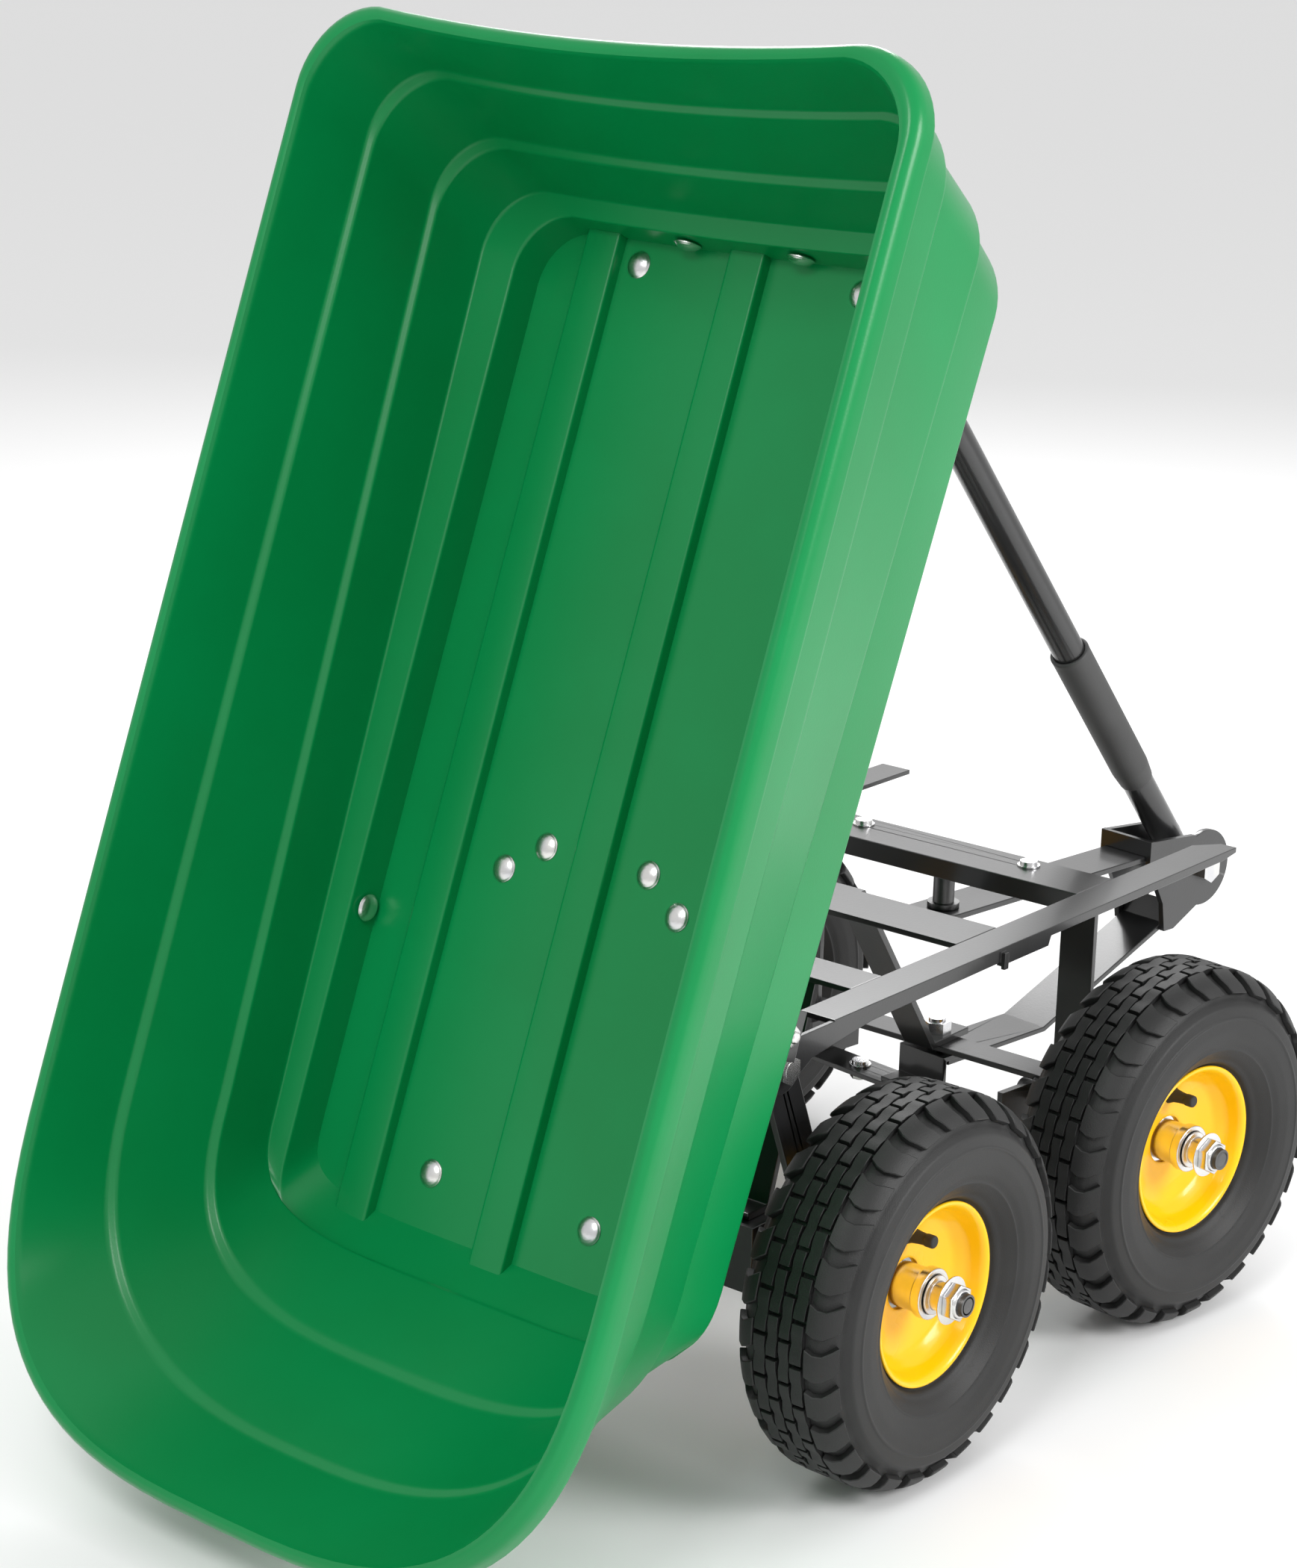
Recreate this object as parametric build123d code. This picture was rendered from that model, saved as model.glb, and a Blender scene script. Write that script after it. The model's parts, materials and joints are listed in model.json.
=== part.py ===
"""Tow-behind tipping cart: a poly tray on a steel chassis with a steered front axle.

Layout frame, in millimetres: +X forwards to the handle, +Y left, +Z up, ground at Z = 0 and the
rear axle at X = 0.  At rest the tray is tipped to dump and the handle leans back.  Every node is
built in the layout frame and then moved by ORIGIN_X, so the row's origin is the ground point under
the middle of the bounding box.
"""
from build123d import *
import math
import os

# ---- driving dimensions -------------------------------------------------------------------------
TYRE_R, TYRE_W = 130.0, 86.0          # 10 inch pneumatic tyre
RIM_R, RIM_W = 61.0, 55.0             # over the rim flanges
BEAD = RIM_W / 2 - 2.6                # tyre bead's outside face, from the wheel's middle
TRACK, WHEELBASE = 432.0, 350.0       # between tyre centres, between axles
AXLE_R, AXLE_HALF = 7.5, 268.0        # 15 mm axle, and half its length
HUB_R, HUB_HALF = 17.0, 26.0
STEER = -7.0                          # front axle's angle at rest, right-hand rule about +Z
TIP = 69.0                            # tray's tipped angle from level
LEAN = 38.5                           # handle's lean back from upright
STEEL, BAR = 3.5, 5.0                 # angle-bar wall, flat-bar thickness
RAIL_TOP, RAIL_IN, RAIL_OUT = 296.0, 135.0, 162.0
RAIL_REAR, RAIL_FRONT = -8.0, 495.0
PIVOT_X, PIVOT_Z = -60.0, 278.0       # tray hinge
PIVOT_S, PIVOT_W = 574.0, 223.0       # the same hinge, from the tray's front edge and rim plane
TRAY_WALL, FLOOR_W = 3.6, 196.0
KING_BOLT_R, KING_PIN_R = 6.0, 8.0
FORK_Z, ARM_Z = 111.0, 247.5          # tops of the fork bar and of the upper arm
EYE_R, EYE_Z = 287.0, 226.0           # handle hinge, ahead of the king pin
TUBE_R, TUBE_START, TUBE_END = 12.5, 15.0, 672.0
SLEEVE_R, SLEEVE_START, SLEEVE_END = 15.0, 102.0, 252.0
GRIP_R, GRIP_HALF, GRIP_END = 7.0, 52.0, 800.0
HITCH_R, HITCH_UP = 7.0, 34.0         # drawbar pin's hole, and its height above the tube's end
RUN = 0.05                            # running clearance, radial
ORIGIN_X = 137.56                     # middle of the bounding box, from the rear axle

# Tray rings from the rim down to the floor: depth, half width at the front and at the rear,
# front and rear ends from the front edge, and the squareness of the rounded rear end.
TRAY_RINGS = [
    (0.0, 231.0, 230.0, 2.0, 907.0, 3.1),
    (56.0, 225.0, 220.5, 13.0, 875.0, 2.6),
    (59.0, 220.0, 215.5, 18.0, 870.0, 2.6),
    (120.0, 216.0, 196.0, 37.0, 822.0, 3.0),
    (123.0, 211.0, 190.5, 43.0, 816.0, 3.0),
    (169.0, 205.0, 190.0, 58.0, 769.0, 3.7),
    (171.5, 175.5, 173.5, 72.0, 768.0, 6.6),
    (FLOOR_W, 172.5, 170.5, 76.0, 743.0, 4.6),
]
NOSE_START, FRONT_CORNER, FRONT_BOW = 690.0, 46.0, 10.0
# The rolled rim, from its inside edge over the top and back under: depth, growth past the inside.
RIM_ROLL = [(-3.0, 1.6), (-4.2, 4.2), (-3.4, 7.8), (0.5, 11.0), (5.0, 12.0), (16.0, 12.0),
            (16.0, 9.6), (6.0, 9.4), (2.5, 8.0), (1.6, 6.0), (3.0, 4.4), (8.0, 3.6)]
RIB_Y, RIB_HALF, RIB_HIGH, RIB_ENDS = (-121.0, 0.0, 121.0), 14.0, 8.0, (78.0, 745.0)
FLOOR_BOLTS = [(93.0, 91.0), (480.0, 43.0), (501.0, 73.0), (706.0, 68.0)]   # from the front, half spacing
SIDE_BOLT = (551.0, 186.0)            # from the front, depth
FRONT_BOLT = (184.5, 46.0)            # depth, half spacing
BOLT_R = 4.0

X_AXIS, Y_AXIS, Z_AXIS = (1, 0, 0), (0, 1, 0), (0, 0, 1)


# ---- small helpers ------------------------------------------------------------------------------
def block(x0, x1, y0, y1, z0, z1):
    """A box between two corners."""
    x0, x1, y0, y1, z0, z1 = min(x0, x1), max(x0, x1), min(y0, y1), max(y0, y1), min(z0, z1), max(z0, z1)
    return Pos((x0 + x1) / 2, (y0 + y1) / 2, (z0 + z1) / 2) * Box(x1 - x0, y1 - y0, z1 - z0)


def rod(radius, start, direction, length):
    """A cylinder from start, along direction."""
    plane = Plane(origin=start, z_dir=direction)
    return extrude(plane * Circle(radius), amount=length)


def hexagon(flats, start, direction, length):
    plane = Plane(origin=start, z_dir=direction)
    return extrude(plane * RegularPolygon(flats / 2 / math.cos(math.pi / 6), 6), amount=length)


def dome_bolt(start, direction, grip, radius=BOLT_R, nut=True):
    """A domed bolt: its head's underside is at start, its shank runs along direction."""
    axis = Vector(*direction).normalized()
    back = Vector(*start) - axis * 4.2
    head = rod(radius * 2.1, Vector(*start) - axis * 1.4, axis, 1.4) + rod(radius * 1.6, back, axis, 2.8)
    shank = rod(radius, start, axis, grip + 7)
    bolt = head + shank
    if nut:
        bolt += hexagon(radius * 3.3, Vector(*start) + axis * (grip + 0.1), axis, 5.5)
    return bolt


def bent_bar(points, thickness, y0, y1):
    """A flat bar bent in the XZ plane along points, extruded from y0 to y1."""
    half = thickness / 2
    left, right = [], []
    for i, (x, z) in enumerate(points):
        before = points[max(i - 1, 0)]
        after = points[min(i + 1, len(points) - 1)]
        d0 = Vector(x - before[0], 0, z - before[1]) if i else Vector(after[0] - x, 0, after[1] - z)
        d1 = Vector(after[0] - x, 0, after[1] - z) if i < len(points) - 1 else d0
        n0, n1 = (Vector(-d.Z, 0, d.X).normalized() for d in (d0, d1))
        mitre = (n0 + n1) / (1 + n0.dot(n1))
        left.append((x + mitre.X * half, z + mitre.Z * half))
        right.append((x - mitre.X * half, z - mitre.Z * half))
    outline = Polygon(*(left + right[::-1]), align=None)
    return extrude(Plane(origin=(0, y1, 0), x_dir=X_AXIS, z_dir=(0, -1, 0)) * outline, amount=y1 - y0,
                   dir=(0, -1, 0))


def plate_xz(points, y0, y1):
    """A plate with a polygon outline in XZ."""
    outline = Polygon(*points, align=None)
    return extrude(Plane(origin=(0, y1, 0), x_dir=X_AXIS, z_dir=(0, -1, 0)) * outline, amount=y1 - y0,
                   dir=(0, -1, 0))


def both_sides(maker):
    """The right and left copies of a piece: maker takes the side's sign."""
    return maker(-1) + maker(1)


def steered(shape):
    """Turns a piece of the front axle, drawn about a king pin at X = 0, to its rest place."""
    return Pos(WHEELBASE, 0, 0) * Rot(0, 0, STEER) * shape


def tray_x(s):
    return PIVOT_X + PIVOT_S - s


def tray_z(w):
    return PIVOT_Z + PIVOT_W - w


def tipped(shape):
    """Turns a piece of the level tray about its hinge to the tipped rest pose."""
    return Pos(PIVOT_X, 0, PIVOT_Z) * Rot(0, -TIP, 0) * Pos(-PIVOT_X, 0, -PIVOT_Z) * shape


def on_handle(shape):
    """Puts a piece drawn along +Z above the handle's hinge on the leaning handle."""
    return steered(Pos(EYE_R, 0, EYE_Z) * Rot(0, -LEAN, 0) * shape)


# ---- tray ---------------------------------------------------------------------------------------
def tray_ring(depth, half_f, half_r, s_front, s_end, power, grow=0.0):
    """The tray's outline at one depth: square front corners, sides that taper, a rounded nose."""
    half_f, half_r, s_front, s_end = half_f + grow, half_r + grow, s_front - grow, s_end + grow
    corner, z = FRONT_CORNER + grow, tray_z(depth)
    xf, xs, length = tray_x(s_front), tray_x(NOSE_START), s_end - NOSE_START
    nose = []
    for k in range(9):
        along, across = round(math.sin(math.pi * k / 8), 6), round(math.cos(math.pi * k / 8), 6)
        y = half_r * math.copysign(abs(across) ** (2 / power), across)
        nose.append((xs - length * along ** (2 / power), y, z))
    diag = corner * (1 - math.sqrt(0.5))
    bow = FRONT_BOW * (1 - depth / 240)
    return [
        ThreePointArc((xf, -half_f + corner, z), (xf - bow, 0, z), (xf, half_f - corner, z)),
        ThreePointArc((xf, half_f - corner, z), (xf - diag, half_f - diag, z), (xf - corner, half_f, z)),
        Line((xf - corner, half_f, z), (xs, half_r, z)),
        Spline(nose, tangents=[(-1, 0, 0), (1, 0, 0)]),
        Line((xs, -half_r, z), (xf - corner, -half_f, z)),
        ThreePointArc((xf - corner, -half_f, z), (xf - diag, -half_f + diag, z), (xf, -half_f + corner, z)),
    ]


def tray_sections():
    """Every ring of the tray's skin: up the inside, over the rolled rim, down the outside."""
    sections = [tray_ring(*ring) for ring in TRAY_RINGS[::-1]]
    rim = TRAY_RINGS[0][1:]
    for depth, grow in RIM_ROLL:
        sections.append(tray_ring(depth, *rim, grow=grow))
    for depth, *sizes in TRAY_RINGS[1:]:
        sections.append(tray_ring(depth + TRAY_WALL, *sizes, grow=TRAY_WALL))
    return sections


def make_tray_shell():
    """The tray's skin as one solid, from ruled walls between neighbouring rings."""
    sections = tray_sections()
    faces = [Face(Wire(sections[0])), Face(Wire(sections[-1]))]
    for low, high in zip(sections, sections[1:]):
        faces += [Face.make_surface_from_curves(a, b) for a, b in zip(low, high)]
    return Solid(Shell(faces))


def tray_bolt_points():
    """Every floor bolt's place: from the front edge and across."""
    return [(s, side * y) for s, y in FLOOR_BOLTS for side in (-1, 1)]


def make_tray():
    tray = Part(make_tray_shell().wrapped)
    for y in RIB_Y:
        tray += block(tray_x(RIB_ENDS[1]), tray_x(RIB_ENDS[0]), y - RIB_HALF, y + RIB_HALF,
                      tray_z(FLOOR_W + 1.5), tray_z(FLOOR_W - RIB_HIGH))
    for s, y in tray_bolt_points():
        tray -= rod(BOLT_R + 0.2, (tray_x(s), y, tray_z(FLOOR_W + 10)), Z_AXIS, 15)
    for side in (-1, 1):
        tray -= rod(BOLT_R + 0.2, (tray_x(SIDE_BOLT[0]), side * 160, tray_z(SIDE_BOLT[1])), (0, side, 0), 40)
        tray -= rod(BOLT_R + 0.2, (tray_x(100), side * FRONT_BOLT[1], tray_z(FRONT_BOLT[0])), X_AXIS, 60)
    return tipped(tray)


BASE_W0, BASE_W1 = 199.8, 203.8       # depth of the steel plates under the floor
EAR_Y0, EAR_Y1 = 148.0, 152.6         # tray's hinge ears


def make_hinge_bracket(side):
    """A bent plate under the floor with a hinge ear, and a tab up the tray's side."""
    base = block(tray_x(722), tray_x(466), side * 34, side * EAR_Y1, tray_z(BASE_W1), tray_z(BASE_W0))
    ear = plate_xz([(tray_x(625), tray_z(BASE_W0)), (tray_x(523), tray_z(BASE_W0)),
                    (tray_x(560), tray_z(PIVOT_W + 8)), (tray_x(588), tray_z(PIVOT_W + 8))],
                   min(side * EAR_Y0, side * EAR_Y1), max(side * EAR_Y0, side * EAR_Y1))
    ear += rod(14, (PIVOT_X, side * EAR_Y0, PIVOT_Z), (0, side, 0), EAR_Y1 - EAR_Y0)
    tab = block(tray_x(567), tray_x(535), side * 150, side * 181.2, tray_z(BASE_W1), tray_z(BASE_W0))
    tab += block(tray_x(567), tray_x(535), side * 178.2, side * 181.2, tray_z(BASE_W1), tray_z(176.5))
    plate = base + ear + tab
    plate -= rod(6 + RUN, (PIVOT_X, side * 140, PIVOT_Z), (0, side, 0), 20)
    for s, y0 in FLOOR_BOLTS[1:]:
        plate -= rod(BOLT_R + 0.2, (tray_x(s), side * y0, tray_z(FLOOR_W + 14)), Z_AXIS, 30)
    plate -= rod(BOLT_R + 0.2, (tray_x(SIDE_BOLT[0]), side * 160, tray_z(SIDE_BOLT[1])), (0, side, 0), 40)
    return tipped(plate)


LATCH_S, LATCH_W, LATCH_OPEN = 93.0, 213.0, 32.0


def make_latch_bracket():
    base = block(tray_x(107), tray_x(79), -105, 105, tray_z(203.3), tray_z(BASE_W0))
    for side in (-1, 1):
        base += block(tray_x(102), tray_x(84), side * 22, side * 26, tray_z(220), tray_z(203.3))
        base -= rod(BOLT_R + 0.2, (tray_x(93), side * 91, tray_z(212)), Z_AXIS, 30)
    base -= rod(3 + RUN, (tray_x(LATCH_S), -40, tray_z(LATCH_W)), Y_AXIS, 80)
    return tipped(base)


def make_runner(side):
    """A flat bar under the floor between the hinge bracket and the latch bracket."""
    return tipped(block(tray_x(465), tray_x(108), side * 86, side * 112, tray_z(BASE_W1), tray_z(BASE_W0)))


def make_front_plate():
    """The plate behind the two bolts in the front wall, which the latch handle passes under."""
    x = tray_x(69.9)
    plate = block(x, x + 3, -66, 66, tray_z(195), tray_z(175.6))
    for side in (-1, 1):
        plate -= rod(BOLT_R + 0.2, (x - 5, side * FRONT_BOLT[1], tray_z(FRONT_BOLT[0])), X_AXIS, 12)
    return tipped(plate)


def latch_place(shape):
    """Turns the closed latch to its open rest angle, then tips it with the tray."""
    x, z = tray_x(LATCH_S), tray_z(LATCH_W)
    return tipped(Pos(x, 0, z) * Rot(0, -LATCH_OPEN, 0) * Pos(-x, 0, -z) * shape)


def pull_path(x, z):
    """The latch's pull end, bent forwards and down from its pin at x, z."""
    return [(x + 3, z - 3), (x + 28, z - 17), (x + 52, z - 33)]


def make_latch_lever():
    x, z = tray_x(LATCH_S), tray_z(LATCH_W)
    hook_x = tray_x(154)
    lever = rod(7, (x, -21.5, z), Y_AXIS, 43)
    lever += bent_bar([(x + 3, z - 4), (x - 30, z - 6), (hook_x, z - 3.5)], 4, -14, 14)
    lever += bent_bar(pull_path(x, z), 4, -14, 14)
    lever -= rod(3 + RUN, (x, -30, z), Y_AXIS, 60)
    return latch_place(lever)


def make_latch_grip():
    """The rubbery pad over the latch's pull end."""
    x, z = tray_x(LATCH_S), tray_z(LATCH_W)
    pad = bent_bar([(x + 31, z - 19), (x + 56, z - 35.67)], 11, -19, 19)
    pad -= bent_bar(pull_path(x, z), 4.04, -14.02, 14.02)
    return latch_place(pad)


def make_latch_pin():
    x, z = tray_x(LATCH_S), tray_z(LATCH_W)
    pin = rod(3, (x, -30, z), Y_AXIS, 60) + rod(5, (x, -32, z), Y_AXIS, 3) + rod(5, (x, 29, z), Y_AXIS, 3)
    return tipped(pin)


def make_tray_bolts():
    bolts = [dome_bolt((tray_x(s), y, tray_z(FLOOR_W)), (0, 0, -1), 8.1) for s, y in tray_bolt_points()]
    for side in (-1, 1):
        bolts.append(dome_bolt((tray_x(SIDE_BOLT[0]), side * 170.7, tray_z(SIDE_BOLT[1])), (0, side, 0), 10.6))
        bolts.append(dome_bolt((tray_x(77.5), side * FRONT_BOLT[1], tray_z(FRONT_BOLT[0])), X_AXIS, 10.7))
    return tipped(Part() + bolts)


# ---- chassis ------------------------------------------------------------------------------------
def make_rail(side):
    """An angle bar along the chassis: its rear end carries the tray's hinge ear."""
    top = block(RAIL_REAR, RAIL_FRONT, side * RAIL_IN, side * RAIL_OUT, RAIL_TOP - STEEL, RAIL_TOP)
    inner = Polygon((RAIL_FRONT + 1, side * (RAIL_IN - 1)), (RAIL_FRONT - 20, side * (RAIL_IN - 1)),
                    (RAIL_FRONT + 1, side * (RAIL_OUT - 12)), align=None)
    top -= extrude(Plane(origin=(0, 0, RAIL_TOP - 10)) * inner, amount=20)
    y0, y1 = sorted((side * (RAIL_OUT - STEEL), side * RAIL_OUT))
    web = plate_xz([(PIVOT_X, PIVOT_Z - 17), (-30, PIVOT_Z - 1), (33, RAIL_TOP - 11.5), (181, RAIL_TOP - 10),
                    (181, RAIL_TOP - 13), (240, RAIL_TOP - 13), (243, RAIL_TOP - 6.5),
                    (RAIL_FRONT - 20, RAIL_TOP - 6.5), (RAIL_FRONT, RAIL_TOP - 4), (RAIL_FRONT, RAIL_TOP),
                    (PIVOT_X, PIVOT_Z + 17)], y0, y1)
    web += rod(17, (PIVOT_X, y0, PIVOT_Z), Y_AXIS, y1 - y0)
    web += block(181, 186, side * RAIL_OUT, side * (RAIL_OUT + 3), RAIL_TOP - 15, RAIL_TOP - 3)
    web -= rod(6.1, (PIVOT_X, y0 - 1, PIVOT_Z), Y_AXIS, STEEL + 2)
    return top + web


def make_cross_angle():
    angle = block(317, 365, -RAIL_IN + 0.1, RAIL_IN - 0.1, RAIL_TOP - STEEL, RAIL_TOP)
    angle += block(317, 317 + STEEL, -RAIL_IN + 0.1, RAIL_IN - 0.1, RAIL_TOP - 15, RAIL_TOP)
    for side in (-1, 1):
        angle -= rod(BOLT_R + 0.2, (WHEELBASE - 2, side * 74, RAIL_TOP - 10), Z_AXIS, 20)
    return angle


def make_cross_bracket(side):
    """A gusset under the front cross angle, held by one of its two bolts."""
    bracket = block(WHEELBASE - 22, WHEELBASE + 13, side * 60, side * 106.8, RAIL_TOP - 7.2, RAIL_TOP - STEEL - 0.1)
    bracket += block(WHEELBASE - 5, WHEELBASE - 1, side * 84, side * 106.8, RAIL_TOP - 24, RAIL_TOP - 7.2)
    bracket -= rod(BOLT_R + 0.2, (WHEELBASE - 2, side * 74, RAIL_TOP - 40), Z_AXIS, 50)
    return bracket


def make_cross_plate():
    return block(167, 215, -RAIL_IN + 0.1, RAIL_IN - 0.1, RAIL_TOP - 4, RAIL_TOP)


def make_rear_cross():
    angle = block(46, 80, -RAIL_IN + 0.1, RAIL_IN - 0.1, RAIL_TOP - STEEL, RAIL_TOP)
    return angle + block(76.5, 80, -RAIL_IN + 0.1, RAIL_IN - 0.1, RAIL_TOP - 15, RAIL_TOP)


POST_Y0, POST_Y1, BEAM_Z = 107.0, 134.8, 143.5


def make_post(side):
    return block(344, 349, side * POST_Y0, side * POST_Y1, BEAM_Z, RAIL_TOP - STEEL - 0.1)


def make_lower_beam():
    beam = block(336, 363, -137, 137, BEAM_Z - 4.5, BEAM_Z)
    return beam - rod(KING_BOLT_R + 0.1, (WHEELBASE, 0, 130), Z_AXIS, 30)


LEG_FOOT_Z = BEAM_Z + 2.6


def make_centre_leg():
    """The brace from the middle crossbar down to the king bolt."""
    leg = bent_bar([(182, RAIL_TOP - 6.6), (229, RAIL_TOP - 6.6), (328, LEG_FOOT_Z), (374, LEG_FOOT_Z)], BAR, -13, 13)
    return leg - rod(KING_BOLT_R + 0.1, (WHEELBASE, 0, 130), Z_AXIS, 30)


def make_king_bolt():
    bolt = rod(KING_BOLT_R, (WHEELBASE, 0, 120), Z_AXIS, 29)
    bolt += hexagon(19, (WHEELBASE, 0, LEG_FOOT_Z + 2.6), Z_AXIS, 9) + rod(6.5, (WHEELBASE, 0, 157), Z_AXIS, 3)
    return bolt + rod(9, (WHEELBASE, 0, 120), Z_AXIS, 6)


def make_king_pin():
    pin = rod(KING_PIN_R, (WHEELBASE, 0, 234), Z_AXIS, RAIL_TOP - STEEL - 0.1 - 234)
    pin += rod(12, (WHEELBASE, 0, ARM_Z + 0.5), Z_AXIS, 4)
    return pin + rod(12, (WHEELBASE, 0, 234), Z_AXIS, ARM_Z - BAR - 0.5 - 234)


def make_rear_leg(side):
    """A flat bar from the tray's hinge down to the rear axle."""
    y0, y1 = sorted((side * 153.2, side * 158.3))
    dx, dz = -PIVOT_X, 130 - PIVOT_Z
    n = Vector(-dz, 0, dx).normalized() * 15
    corners = [(PIVOT_X + n.X, PIVOT_Z + n.Z), (n.X, 130 + n.Z), (-n.X, 130 - n.Z), (PIVOT_X - n.X, PIVOT_Z - n.Z)]
    leg = plate_xz(corners, y0, y1) + rod(15, (PIVOT_X, y0, PIVOT_Z), Y_AXIS, y1 - y0)
    leg += rod(15, (0, y0, 130), Y_AXIS, y1 - y0)
    leg -= rod(6.1, (PIVOT_X, y0 - 1, PIVOT_Z), Y_AXIS, 8)
    return leg - rod(AXLE_R + 0.1, (0, y0 - 1, 130), Y_AXIS, 8)


def make_rear_beam():
    """The box around the middle of the rear axle."""
    beam = block(-20, 16, -112, 112, 95, 142) - block(-16.5, 12.5, -108, 108, 98.5, 138.5)
    return beam - rod(AXLE_R + 0.1, (0, -120, 130), Y_AXIS, 240)


def make_rear_strut(side):
    """The sloping upright between the axle box and the rear crossbar."""
    y0, y1 = sorted((side * 76, side * 102))
    return bent_bar([(-12, 144.7), (10, 144.7), (54, 289.5)], BAR, y0, y1)


def make_rear_axle():
    return rod(AXLE_R, (0, -AXLE_HALF, 130), Y_AXIS, 2 * AXLE_HALF)


def make_pivot_bolt(side):
    bolt = rod(6, (PIVOT_X, side * 146.5, PIVOT_Z), (0, side, 0), 22)
    bolt += hexagon(17, (PIVOT_X, side * 162.2, PIVOT_Z), (0, side, 0), 6)
    return bolt + rod(9.5, (PIVOT_X, side * 143.5, PIVOT_Z), (0, side, 0), 4)


def make_frame_bolts():
    bolts = [dome_bolt((WHEELBASE - 2, side * 74, RAIL_TOP), (0, 0, -1), 7.2) for side in (-1, 1)]
    return Part() + bolts


def axle_nut(side):
    """Washer, spacer and nut outside a wheel, about an axle through the origin."""
    y = TRACK / 2 + HUB_HALF + 0.5
    nut = rod(13, (0, side * y, 0), (0, side, 0), 1.5) + rod(9.5, (0, side * y, 0), (0, side, 0), 12)
    nut += hexagon(20, (0, side * (y + 12), 0), (0, side, 0), 8)
    return nut - rod(AXLE_R + 0.1, (0, side * (y - 1), 0), (0, side, 0), 22)


def inner_collar(side):
    y = TRACK / 2 - HUB_HALF - 0.5
    collar = rod(13, (0, side * y, 0), (0, -side, 0), 8)
    return collar - rod(AXLE_R + 0.1, (0, side * (y + 1), 0), (0, -side, 0), 12)


def axle_hardware():
    """The washers, nuts and collars of one axle."""
    return both_sides(axle_nut) + both_sides(inner_collar)


# ---- steered front axle -------------------------------------------------------------------------
FORK_Y, STRAP_HALF = 93.0, 20.1


def make_fork_bar():
    bar = block(-37, -9, -FORK_Y, FORK_Y, FORK_Z - 4, FORK_Z)
    for side in (-1, 1):
        bar -= rod(BOLT_R + 0.2, (-23, side * 55, FORK_Z - 10), Z_AXIS, 20)
    return steered(bar)


def make_end_plate(side):
    y0, y1 = sorted((side * (FORK_Y + 0.1), side * (FORK_Y + 5)))
    plate = block(-37, 16, y0, y1, FORK_Z - 4, 137.5)
    return plate - rod(AXLE_R + 0.1, (0, y0 - 1, 130), Y_AXIS, 8)


def make_king_bracket():
    bracket = bent_bar([(-36, FORK_Z + 2.1), (-14, FORK_Z + 2.1), (-14, 135), (20, 135)], 4, -22, 22)
    return steered(bracket - rod(KING_BOLT_R + RUN, (0, 0, 120), Z_AXIS, 20))


def make_strap():
    """The lower draw strap, from the king bolt forwards and up to the yoke."""
    strap = bent_bar([(-8, 130.8), (103, 130.8), (245, 186), (252, 204)], 4, -STRAP_HALF, STRAP_HALF)
    return steered(strap - rod(KING_BOLT_R + RUN, (0, 0, 110), Z_AXIS, 30))


def make_upper_arm():
    arm = block(-22, 245, -20, 20, ARM_Z - BAR + 0.5, ARM_Z)
    return steered(arm - rod(KING_PIN_R + RUN, (0, 0, 230), Z_AXIS, 30))


YOKE_IN, YOKE_OUT, EAR_R = 20.2, 25.0, 31.0


def make_yoke():
    """The U of the yoke: a short back on the upper arm and two round ears."""
    yoke = block(216, 220, -YOKE_OUT, YOKE_OUT, ARM_Z + 0.1, ARM_Z + 13)
    for side in (-1, 1):
        y0, y1 = sorted((side * YOKE_IN, side * YOKE_OUT))
        ear = plate_xz([(216, ARM_Z + 13), (216, ARM_Z - 6), (236, 206), (240, 182), (252, 182),
                        (EYE_R - 6, 196), (EYE_R, EYE_Z), (EYE_R - 14, ARM_Z + 8)], y0, y1)
        yoke += ear + rod(EAR_R, (EYE_R, y0, EYE_Z), Y_AXIS, y1 - y0)
    return steered(yoke - rod(6.1, (EYE_R, -40, EYE_Z), Y_AXIS, 80))


def make_handle_bolt():
    bolt = rod(6, (EYE_R, -YOKE_OUT - 1, EYE_Z), Y_AXIS, 2 * YOKE_OUT + 12)
    bolt += hexagon(19, (EYE_R, -YOKE_OUT - 8.2, EYE_Z), Y_AXIS, 8)
    bolt += hexagon(19, (EYE_R, YOKE_OUT + 0.2, EYE_Z), Y_AXIS, 8)
    return steered(bolt)


def make_fork_bolts():
    bolts = [dome_bolt((-23, side * 55, FORK_Z), (0, 0, -1), 4.1) for side in (-1, 1)]
    return steered(Part() + bolts)


def make_stub(side):
    return rod(AXLE_R, (0, side * 86, 130), (0, side, 0), AXLE_HALF - 86)


# ---- handle -------------------------------------------------------------------------------------
def make_handle_eye():
    eye = rod(14, (0, -19.6, 0), Y_AXIS, 39.2) + block(-11, 11, -11, 11, 8, TUBE_START)
    return on_handle(eye - rod(6 + RUN, (0, -30, 0), Y_AXIS, 60))


def make_handle_tube():
    tube = rod(TUBE_R, (0, 0, TUBE_START + 0.1), Z_AXIS, TUBE_END - TUBE_START)
    return on_handle(tube - rod(TUBE_R - 1.8, (0, 0, TUBE_START + 4), Z_AXIS, TUBE_END - TUBE_START - 8))


def make_sleeve():
    start = rod(SLEEVE_R, (0, 0, SLEEVE_START), Z_AXIS, SLEEVE_END - SLEEVE_START)
    return on_handle(start - rod(TUBE_R + 0.05, (0, 0, SLEEVE_START - 1), Z_AXIS, SLEEVE_END - SLEEVE_START + 2))


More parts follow.
